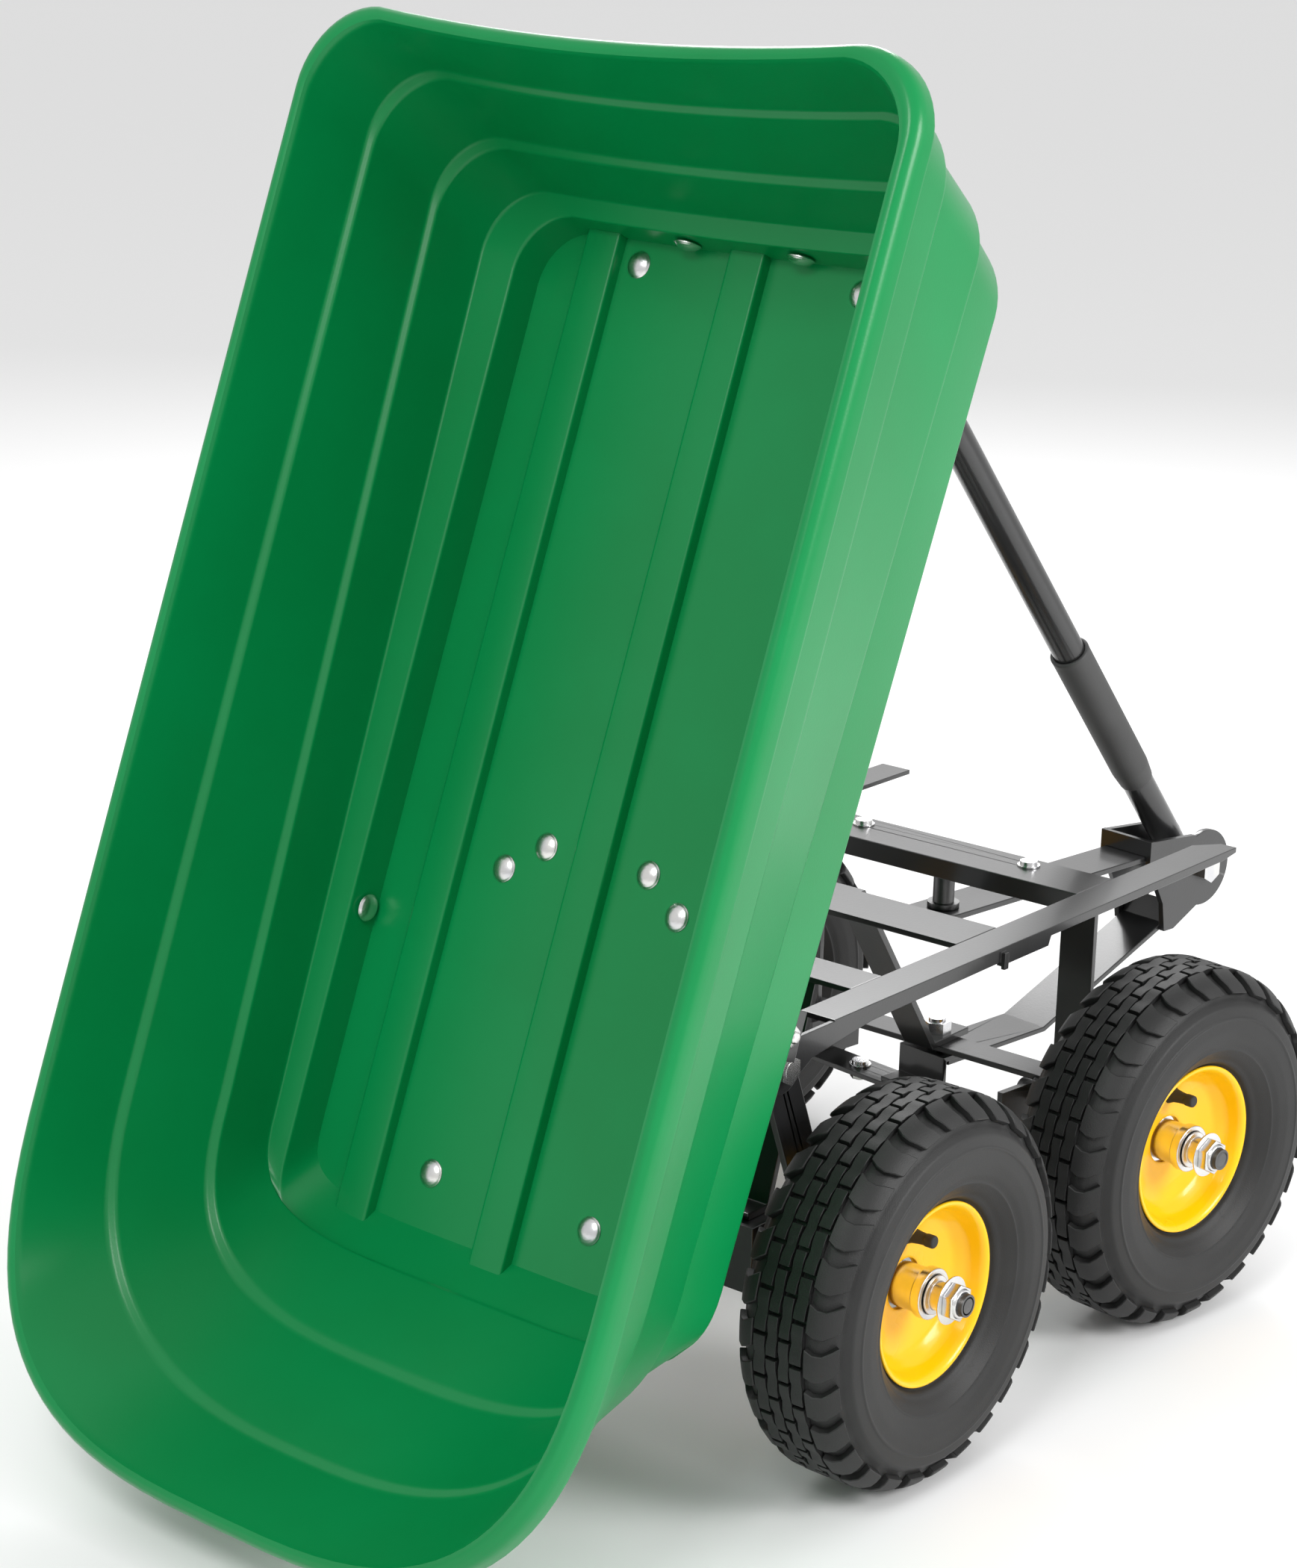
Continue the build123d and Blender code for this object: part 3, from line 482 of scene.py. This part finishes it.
@dataclass
class Tray:
    """The moulded tray: stepped walls, a rolled rim, and a floor with three raised ribs."""

    tip: float = math.radians(69)
    pivot_s: float = 574.0
    pivot_w: float = 223.0
    floor: float = 196.0
    wall: float = 3.6
    nose: float = 690.0
    corner: float = 46.0
    corner_width: float = 205.0
    corner_growth: float = 0.2
    bow: float = 10.0
    bow_fades: float = 240.0
    front_steps: int = 16
    corner_steps: int = 12
    side_steps: int = 20
    nose_steps: int = 48
    roll: tuple[Point2, ...] = ((-3, 1.6), (-4.2, 4.2), (-3.4, 7.8), (0.5, 11), (5, 12), (16, 12), (16, 9.6),
                                (6, 9.4), (2.5, 8), (1.6, 6), (3, 4.4), (8, 3.6))
    rib_spacing: float = 121.0
    rib_half: float = 14.0
    rib_high: float = 8.0
    rib_sunk: float = 1.5
    rib_ends: Point2 = (70.0, 752.0)
    floor_bolts: tuple[Point2, ...] = ((93.0, 91.0), (480.0, 43.0), (501.0, 73.0), (706.0, 68.0))
    floor_grip: float = 8.2
    side_bolt: Point2 = (551.0, 186.0)
    side_seat: float = 170.7
    side_grip: float = 10.6
    front_bolt: Point2 = (46.0, 184.5)
    front_seat: float = 77.5
    front_grip: float = 10.7

    def __post_init__(self) -> None:
        """Finds the tray's own axes from its hinge."""
        up = Vector((-math.sin(self.tip), 0, math.cos(self.tip)))
        forward = Vector((math.cos(self.tip), 0, math.sin(self.tip)))
        place = Place(joint_place("tray_tip"), -forward, Vector((0, 1, 0)), -up)
        self.place = place.moved(-self.pivot_s, 0, -self.pivot_w)

    def rings(self) -> list[Ring]:
        """The inside's rings from the rim down."""
        return [
            Ring(0, 231, 230, 2, 907, 3.1),
            Ring(56, 225, 220.5, 13, 875, 2.6),
            Ring(59, 220, 215.5, 18, 870, 2.6),
            Ring(120, 216, 196, 37, 822, 3.0),
            Ring(123, 211, 190.5, 43, 816, 3.0),
            Ring(169, 205, 190, 58, 769, 3.7),
            Ring(171.5, 175.5, 173.5, 72, 768, 6.6),
            Ring(self.floor, 172.5, 170.5, 76, 743, 4.6),
        ]

    def sections(self) -> list[Vector]:
        """The skin from the floor, up the inside, over the rim and down the outside, its edges rounded."""
        rings = self.rings()
        inside = [ring.values() for ring in rings[::-1]]
        over = [rings[0].grown(depth, by).values() for depth, by in self.roll]
        outside = [ring.grown(ring.depth + self.wall, self.wall).values() for ring in rings[1:]]
        return (rounded(inside + over[:1], 3.0, 5)[:-1] + rounded(over, 2.5, 3)[:-1]
                + rounded(over[-1:] + outside, 4.0, 4))

    def outline(self, section: Vector) -> list[Vector]:
        """One ring's points, from the front's right end round to the left."""
        depth, half_f, half_r, front, end, power = section
        corner = self.corner + (half_f - self.corner_width) * self.corner_growth
        points: list[Point2] = []
        bow = self.bow * (1 - depth / self.bow_fades)
        for k in range(self.front_steps + 1):
            t = 2 * k / self.front_steps - 1
            points.append((front + bow * (1 - t * t), t * (half_f - corner)))
        points += self.arc(front, half_f, corner, 1)
        points += self.run(section, corner, 1)
        for k in range(self.nose_steps + 1):
            a = math.pi * k / self.nose_steps
            across, forward = math.cos(a), math.sin(a)
            points.append((self.nose + (end - self.nose) * abs(forward) ** (2 / power),
                           half_r * math.copysign(abs(across) ** (2 / power), across)))
        points += self.run(section, corner, -1)
        points += self.arc(front, half_f, corner, -1)
        return [self.place.at(s, y, depth) for s, y in points]

    def run(self, section: Vector, corner: float, side: int) -> list[Point2]:
        """A long side's points between its front corner and the nose, in the order that the outline runs."""
        _, half_f, half_r, front, _, _ = section
        length = self.nose - front - corner
        run = [(front + corner + length * k / self.side_steps,
                side * (half_f + (half_r - half_f) * k / self.side_steps)) for k in range(1, self.side_steps)]
        return run if side > 0 else run[::-1]

    def arc(self, front: float, half: float, corner: float, side: int) -> list[Point2]:
        """A front corner's points, in the order that the outline runs."""
        angles = [math.pi / 2 * k / self.corner_steps for k in range(1, self.corner_steps + 1)]
        arc = [(front + corner * (1 - math.cos(a)), side * (half - corner * (1 - math.sin(a))))
               for a in angles]
        return arc if side > 0 else arc[::-1]

    def rib(self, y: float) -> bpy.types.Object:
        """One raised rib with rounded edges, sunk a little into the floor."""
        half, top, foot = self.rib_half, self.floor - self.rib_high, self.floor + self.rib_sunk
        corners = [(y - half - 1, foot), (y - half, top), (y + half, top), (y + half + 1, foot)]
        section = rounded(corners, 2.2, 4)
        start, end = self.rib_ends
        stations = [start, start + 4, (start + end) / 2, end - 4, end]
        rings = [[self.place.at(s, p[0], p[1]) for p in section] for s in stations]
        return skin("rib", rings, fill=True)

    def build(self) -> None:
        """Builds the tray and its bolts."""
        shell = skin("tray_shell", [self.outline(section) for section in self.sections()], fill=True)
        ribs = [self.rib(y) for y in (-self.rib_spacing, 0, self.rib_spacing)]
        dressed(joined("tray_shell", [shell, *ribs]), Finishes.green_poly, "tray", "tray")
        self.build_bolts()

    def build_bolts(self) -> None:
        """Builds the domed bolts inside the tray and the nuts under it."""
        fasteners = Fasteners()
        dome, nut = fasteners.dome(), fasteners.nut()
        place, made = self.place, []
        spots = [(place.at(s, side * y, self.floor), -place.z, self.floor_grip)
                 for s, y in self.floor_bolts for side in (-1, 1)]
        for side in (-1, 1):
            s, w = self.side_bolt
            spots.append((place.at(s, side * self.side_seat, w), place.y * -side, self.side_grip))
            y, w = self.front_bolt
            spots.append((place.at(self.front_seat, side * y, w), place.x, self.front_grip))
        for spot, direction, grip in spots:
            made.append(placed(dome, along(spot, direction)))
            made.append(placed(nut, along(spot - direction * grip * MM, -direction)))
        removed(dome, nut)
        dressed(joined("tray_bolt_set", made), Finishes.zinc, "tray", "tray_bolts")


# ---- wheels -------------------------------------------------------------------------------------
@dataclass(frozen=True)
class TreadRow:
    """A row of tread blocks on one side of the middle: its edges, and how its blocks are cut and set."""

    low: float
    high: float
    length: float
    lag: float
    shift: float = 0.0
    skew: float = 0.0
    sipe: bool = True


@dataclass
class Wheel:
    """One pneumatic wheel: a lugged tyre on a dished two-piece rim, with its hub and valve."""

    name: str
    side: int
    radius: float = 130.0
    lug: float = 5.0
    flat: float = 16.0
    shoulder: float = 26.0
    rim: float = 61.0
    rim_half: float = 27.5
    hub: float = 17.0
    hub_half: float = 26.0
    bearing: float = 8.2
    gap: float = 0.1
    valve: float = 35.0
    pitches: int = 28
    block_edge: float = 0.6
    sipe_half: float = 0.05
    sipe_deep: float = 1.5

    def __post_init__(self) -> None:
        """Finds the wheel's axes from its spin joint: y points outboard."""
        joint = JOINTS["spin_" + self.name]
        out = Vector(joint["axis"]) * self.side
        up = Vector((0, 0, 1))
        self.place = Place(Vector(joint["pos_m"]), out.cross(up).normalized(), out, up)
        self.body = "wheel_" + self.name

    def crown(self, across: float, lift: float) -> Point2:
        """A point over the tread: its offset along the axle and its radius."""
        over = max(abs(across) - self.flat, 0) / self.shoulder
        bend = self.shoulder + lift
        offset = min(abs(across), self.flat) + bend * math.sin(over)
        return math.copysign(offset, across), self.radius - self.shoulder + bend * math.cos(over)

    def wrapped(self, block: bpy.types.Object, turn: float) -> bpy.types.Object:
        """A flat block laid on the tread: x becomes the turn, y the way across and z the height."""
        def move(co: Vector) -> Vector:
            offset, radius = self.crown(co.y, co.z)
            angle = turn + co.x / self.radius
            return self.place.at(radius * math.sin(angle), offset, radius * math.cos(angle))
        return mapped(block, move)

    def block(self, row: TreadRow, side: int) -> bpy.types.Object:
        """A row's flat tread block in millimetres, bevelled, with a sipe cut across if it has one."""
        low, high = sorted((side * row.low, side * row.high))
        deselect()
        bpy.ops.mesh.primitive_cube_add(size=1, location=(0, (low + high) / 2, -self.lug / 2),
                                        scale=(row.length, high - low, self.lug))
        made = bpy.context.object
        bpy.ops.object.transform_apply(location=True, rotation=True, scale=True)
        bpy.ops.object.mode_set(mode="EDIT")
        bpy.ops.mesh.select_all(action="SELECT")
        bpy.ops.mesh.subdivide(number_cuts=3)
        bpy.ops.object.mode_set(mode="OBJECT")
        for vertex in made.data.vertices:
            share = (vertex.co.y - low) / (high - low)
            vertex.co.x += row.skew * math.sin(share * math.pi * 1.3)
            if row.sipe and abs(vertex.co.x) < row.length * self.sipe_half and vertex.co.z > -0.1:
                vertex.co.z -= self.sipe_deep
        modified(made, "BEVEL", width=self.block_edge, segments=1, limit_method="ANGLE",
                 angle_limit=math.radians(40))
        return made

    def tread(self) -> bpy.types.Object:
        """The tyre's lugs: two brick rows each side of the middle, and long shoulder lugs."""
        pitch = 2 * math.pi * self.radius / self.pitches
        rows = (TreadRow(0.9, 8.4, pitch - 2.6, 0.25), TreadRow(9.6, 18.2, pitch - 3.0, 0.25, shift=0.5),
                TreadRow(19.6, 43.0, pitch * 0.64, 0.1, skew=3.6, sipe=False))
        kinds = [(self.block(row, side), row.lag * side + row.shift) for side in (-1, 1) for row in rows]
        made = [self.wrapped(block, 2 * math.pi * (k + phase) / self.pitches)
                for block, phase in kinds for k in range(self.pitches)]
        for block, _ in kinds:
            removed(block)
        return joined("tread", made)

    def carcass(self) -> bpy.types.Object:
        """The tyre under its lugs, with fine rings moulded in the sidewalls."""
        turns = (0.0, 0.25, 0.5, 0.75, 1.0, 1.15)
        base = [self.crown(self.flat + self.shoulder * a, 0.4 - self.lug) for a in turns]
        wall = [(41.4, 108), (42.3, 101), (42.9, 100.4), (42.9, 99.2), (42.4, 98.4), (42.2, 90), (40.6, 82),
                (38.4, 77), (38.8, 76), (37.6, 74.6), (34.4, 70.4), (31.4, 67.2), (30.2, 65.2), (28.6, 63.6),
                (25.6, 62.4), (24.6, 58)]
        back = [(18, 57), (17, 64), (30, 74), (34, 90), (30, 108), (16, 117)]
        half = base + wall + back
        loop = half + [(-offset, radius) for offset, radius in half[::-1]]
        return turned("carcass", self.place, rounded(loop, 1.6, 3, closed=True), 128, closed=True)

    def rim_half_shell(self, side: int) -> bpy.types.Object:
        """One pressed half of the rim: a rolled flange and a deep bowl down to the hub."""
        h, r = self.rim_half, self.rim
        bore = self.hub + self.gap
        face = [(h, r), (h, r - 2.2), (h - 2.4, r - 4.8), (h - 12, r - 8.0), (h - 19, r - 15), (4.6, 33),
                (3.2, 24), (3.0, bore)]
        back = [(0.8, bore), (1.0, 25), (2.4, 34.5), (h - 20.5, r - 12.8), (h - 12.6, r - 5.8),
                (h - 3.6, r - 3.4), (h - 2.2, r)]
        profile = [(side * offset, radius) for offset, radius in face + back]
        return turned("rim_half", self.place, rounded(profile, 3.0, 4, closed=True), 96, closed=True)

    def hub_pieces(self) -> bpy.types.Object:
        """The zinc hub tube with rolled bearing cups at its ends."""
        h, r = self.hub_half, self.hub
        outer = [(-h, r - 4), (-h, r), (-h + 7, r), (-h + 8, r - 2.2), (h - 8, r - 2.2), (h - 7, r), (h, r),
                 (h, r - 4)]
        inner = [(h - 2.5, r - 5), (h - 2.5, self.bearing), (-h + 2.5, self.bearing), (-h + 2.5, r - 5)]
        return turned("hub", self.place, rounded(outer + inner, 1.0, 3, closed=True), 64, closed=True)

    def build(self) -> None:
        """Builds the wheel's pieces."""
        tyre = joined("tyre_" + self.name + "_lugged", [self.carcass(), self.tread()])
        dressed(smooth(tyre, 40), Finishes.tyre, self.body, "tyre_" + self.name)
        rim = joined("rim_" + self.name + "_dished", [self.rim_half_shell(1), self.rim_half_shell(-1)])
        dressed(rim, Finishes.yellow_paint, self.body, "rim_" + self.name)
        hub = self.hub_pieces()
        dressed(hub, Finishes.zinc, self.body, "hub_" + self.name)
        hub.name = "hub_" + self.name + "_tube"
        low, high = self.hub_half - 3, self.hub_half - 1.6
        loop = [(high, self.bearing), (high, 12), (low, 12), (low, self.bearing)]
        seal = turned("seal_" + self.name, self.place, rounded(loop, 0.4, 2, closed=True), 48, closed=True)
        dressed(seal, Finishes.grip_rubber, self.body)
        self.build_valve()

    def build_valve(self) -> None:
        """Builds the tyre's black valve stem and its cap."""
        profile = [(1, 0), (1, 7.5), (4, 7.0), (8, 5.0), (13, 4.2), (18, 3.8), (18.4, 4.3), (24, 4.3),
                   (25, 3.4), (25, 0)]
        place = self.place.moved(0, 0, self.valve)
        stem = turned("valve_" + self.name + "_stem", place, rounded(profile, 0.8, 3), 32)
        dressed(stem, Finishes.grip_rubber, self.body, "valve_" + self.name)


@dataclass
class AxleEnds:
    """The nuts, washers and inner collars of one axle, and the axle's own ends."""

    prefix: str
    body: str
    wheels: tuple[Wheel, Wheel]
    axle: float = 7.5
    gap: float = 0.1
    reach: float = 52.0
    nut_seat: float = 12.4

    def build(self) -> None:
        """Builds both ends' hardware."""
        zinc, steel = [], []
        for wheel in self.wheels:
            h, r, bore = wheel.hub_half, self.axle, self.axle + self.gap
            seat = h + self.nut_seat
            loops = [[(h + 0.5, bore), (h + 0.5, 13), (h + 2.0, 13), (h + 2.4, 9.5), (seat, 9.5),
                      (seat, bore)],
                     [(-h - 0.5, bore), (-h - 0.5, 13), (-h - 8.5, 13), (-h - 8.5, bore)],
                     [(seat + 7.2, bore), (seat + 7.2, 10.4), (seat + 10, 9.2), (seat + 10, bore)]]
            zinc += [turned("ring", wheel.place, rounded(loop, 0.6, 3, closed=True), 48, closed=True)
                     for loop in loops]
            nut = Fasteners(shank=0.5).nut(flats=22, height=7.0)
            zinc.append(placed(nut, wheel.place.moved(0, seat, 0)))
            removed(nut)
            tip = self.reach
            profile = [(h, 0), (h, r), (tip - 1, r), (tip, r - 1), (tip, r - 3), (tip - 1.4, 0)]
            steel.append(turned("end", wheel.place, rounded(profile, 0.5, 2), 40))
        nuts = joined(self.prefix + "_axle_nuts", zinc)
        dressed(nuts, Finishes.zinc, self.body, self.prefix + "_axle_hardware")
        dressed(joined(self.prefix + "_axle_ends", steel), Finishes.axle_steel, self.body)


# ---- handle -------------------------------------------------------------------------------------
@dataclass
class Handle:
    """The tow handle: round tube, moulded sleeve, and the D grip behind the tray."""

    lean: float = math.radians(38.5)
    tube: float = 12.5
    tube_ends: Point2 = (15.1, 672.0)
    sleeve: float = 15.0
    sleeve_ends: Point2 = (102.0, 252.0)
    bar: float = 7.0
    grip_half: float = 52.0
    grip_end: float = 800.0
    gap: float = 0.1
    pad_thick: float = 5.4
    ridge: float = 3.2
    ridges_a_side: int = 12

    def __post_init__(self) -> None:
        """Finds the handle's axes from its hinge: z runs up the tube."""
        joint = JOINTS["handle_tilt"]
        side = Vector(joint["axis"]).normalized()
        forward = side.cross(Vector((0, 0, 1))).normalized()
        up = Vector((0, 0, math.cos(self.lean))) - forward * math.sin(self.lean)
        self.place = Place(Vector(joint["pos_m"]), side.cross(up), side, up)
        self.axis = Place(self.place.origin, self.place.y, self.place.z, self.place.x)

    def build(self) -> None:
        """Builds the handle's round pieces."""
        low, high = self.tube_ends
        r = self.tube
        profile = [(low, 0), (low, r - 3), (low + 8, r), (high - 1.5, r), (high, r - 1.5), (high, 0)]
        tube = turned("handle_tube_drawn", self.axis, rounded(profile, 2, 4), 40)
        dressed(tube, Finishes.black_paint, "handle", "handle_tube")
        low, high = self.sleeve_ends
        shape = [(low, r + self.gap), (low + 0.6, r + 0.9), (low + 16, self.sleeve),
                 (high - 5, self.sleeve + 0.3), (high - 1, self.sleeve + 0.6), (high, self.sleeve - 0.4),
                 (high, r + self.gap)]
        loop = rounded(shape, 1.0, 3, closed=True)
        sleeve = turned("handle_sleeve_moulded", self.axis, loop, 48, closed=True)
        dressed(sleeve, Finishes.grey_sleeve, "handle", "handle_sleeve")
        self.build_grip()

    def build_grip(self) -> None:
        """Builds the D's bent rod and the pad on its cross bar."""
        base, top, half = self.tube_ends[1] + 7.2, self.grip_end - self.bar, self.grip_half
        corners = [(0, 0, base), (0, half - 14, base + 8), (0, half, base + 28), (0, half, top), (0, 0, top)]
        right = [(x, -y, z) for x, y, z in corners]
        loop = rounded(corners[:-1] + right[:0:-1] + [corners[0]], 12, 6)
        path = [self.place.at(*p) for p in loop]
        rod = swept("grip_rod", path, [self.bar] * len(path), 20)
        dressed(rod, Finishes.black_paint, "handle", "grip_frame")
        bar = Place(self.place.at(0, 0, top), self.place.x, self.place.y, self.place.z)
        low, mid, high = self.bar + self.gap, self.bar + self.pad_thick, self.bar + self.pad_thick + 0.5
        ridges = []
        for k in range(-self.ridges_a_side, self.ridges_a_side + 1):
            centre = k * self.ridge
            ridges += [(centre - self.ridge / 2, mid - 0.5), (centre - 0.9, high), (centre + 0.9, high)]
        end = self.grip_half - 10
        profile = [(-end, low), (-end, mid), *ridges, (end, mid), (end, low)]
        pad = turned("grip_pad_ribbed", bar, rounded(profile, 0.5, 2, closed=True), 40, closed=True)
        dressed(pad, Finishes.grip_rubber, "handle", "grip_pad")


# ---- frame --------------------------------------------------------------------------------------
@dataclass(frozen=True)
class Steelwork:
    """The frame's own bars and plates, which keep their shapes and get rounded edges and finishes."""

    edge: float = 0.7
    weld: float = 1e-5

    def build(self) -> None:
        """Dresses every frame node that still shows."""
        slots = {row["node"]: row["material_slot"] for row in frame["record"]["subparts"]}
        for name, node in frame["nodes"].items():
            if node.hide_render:
                continue
            node.data.materials.clear()
            node.data.materials.append(MATERIALS[slots[name]])
            weld = node.modifiers.new("Weld", "WELD")
            weld.merge_threshold = self.weld
            bevel = node.modifiers.new("Bevel", "BEVEL")
            bevel.width, bevel.segments = self.edge * MM, 2
            bevel.limit_method, bevel.angle_limit = "ANGLE", math.radians(40)
            LOG.info("%s dressed in %s", name, slots[name])


# ---- studio -------------------------------------------------------------------------------------
@dataclass(frozen=True)
class Studio:
    """A pale floor, soft lights and the camera."""

    azimuth: float = 38.636
    elevation: float = 16.013
    roll: float = 1.584
    place: tuple[float, float, float] = (-1.74465, -1.30645, 1.02273)
    lens: float = 76.066
    shift: Point2 = (-0.01767, -0.0110)
    sensor: float = 36.0
    reach: Point2 = (0.05, 50.0)
    aim: tuple[float, float, float] = (0, 0, 0.4)
    floor_drop: float = 0.0006
    sky: float = 0.8
    lamps: tuple[tuple[str, tuple[float, float, float], float, float], ...] = (
        ("key", (-2.2, -0.6, 2.6), 1.0, 34),
        ("side", (0.6, -2.8, 1.6), 1.2, 60),
        ("back", (2.2, 1.6, 2.2), 1.2, 40))

    def camera(self) -> None:
        """Adds the camera, behind the cart and to its right, looking down at it."""
        a, e, r = (math.radians(v) for v in (self.azimuth, self.elevation, self.roll))
        ahead = Vector((math.cos(e) * math.cos(a), math.cos(e) * math.sin(a), -math.sin(e)))
        right = Vector((math.sin(a), -math.cos(a), 0))
        up = right.cross(ahead)
        x, y = right * math.cos(r) + up * math.sin(r), up * math.cos(r) - right * math.sin(r)
        turn = Matrix((x, y, -ahead)).transposed().to_4x4()
        data = bpy.data.cameras.new("camera")
        data.lens, data.sensor_width = self.lens, self.sensor
        data.shift_x, data.shift_y = self.shift
        data.clip_start, data.clip_end = self.reach
        camera = bpy.data.objects.new("camera", data)
        camera.matrix_world = Matrix.Translation(self.place) @ turn
        bpy.context.scene.collection.objects.link(camera)
        bpy.context.scene.camera = camera

    def light(self, name: str, place: tuple[float, float, float], size: float, power: float) -> None:
        """Adds a square soft light aimed at the cart's middle."""
        data = bpy.data.lights.new(name, "AREA")
        data.size, data.energy = size, power
        lamp = bpy.data.objects.new(name, data)
        lamp.location = place
        lamp.rotation_euler = (Vector(self.aim) - Vector(place)).to_track_quat("-Z", "Y").to_euler()
        bpy.context.scene.collection.objects.link(lamp)

    def build(self) -> None:
        """Adds the floor, the world's soft light, the lamps and the camera."""
        deselect()
        bpy.ops.mesh.primitive_plane_add(size=60, location=(0, 0, -self.floor_drop))
        floor = bpy.context.object
        floor.name = "floor"
        shader = Shader("pale_floor")
        shader.set(Base_Color=(0.9, 0.9, 0.9, 1), Roughness=0.85)
        floor.data.materials.append(shader.material)
        world = bpy.data.worlds.new("studio")
        bpy.context.scene.world = world
        world.use_nodes = True
        sky = world.node_tree.nodes["Background"].inputs
        sky["Color"].default_value = (1, 1, 1, 1)
        sky["Strength"].default_value = self.sky
        for lamp in self.lamps:
            self.light(*lamp)
        bpy.context.scene.view_settings.view_transform = "Standard"
        self.camera()


def main() -> None:
    """Builds every sub-assembly in order."""
    logging.basicConfig(level=logging.INFO, format="%(message)s")
    Tray().build()
    wheels = {}
    for end in ("rear", "front"):
        for side, label in ((-1, "right"), (1, "left")):
            name = end + "_" + label
            wheels[name] = Wheel(name, side)
            wheels[name].build()
    AxleEnds("rear", "chassis", (wheels["rear_right"], wheels["rear_left"])).build()
    AxleEnds("front", "steering", (wheels["front_right"], wheels["front_left"])).build()
    Handle().build()
    Steelwork().build()
    Studio().build()


if __name__ == "__main__":
    main()
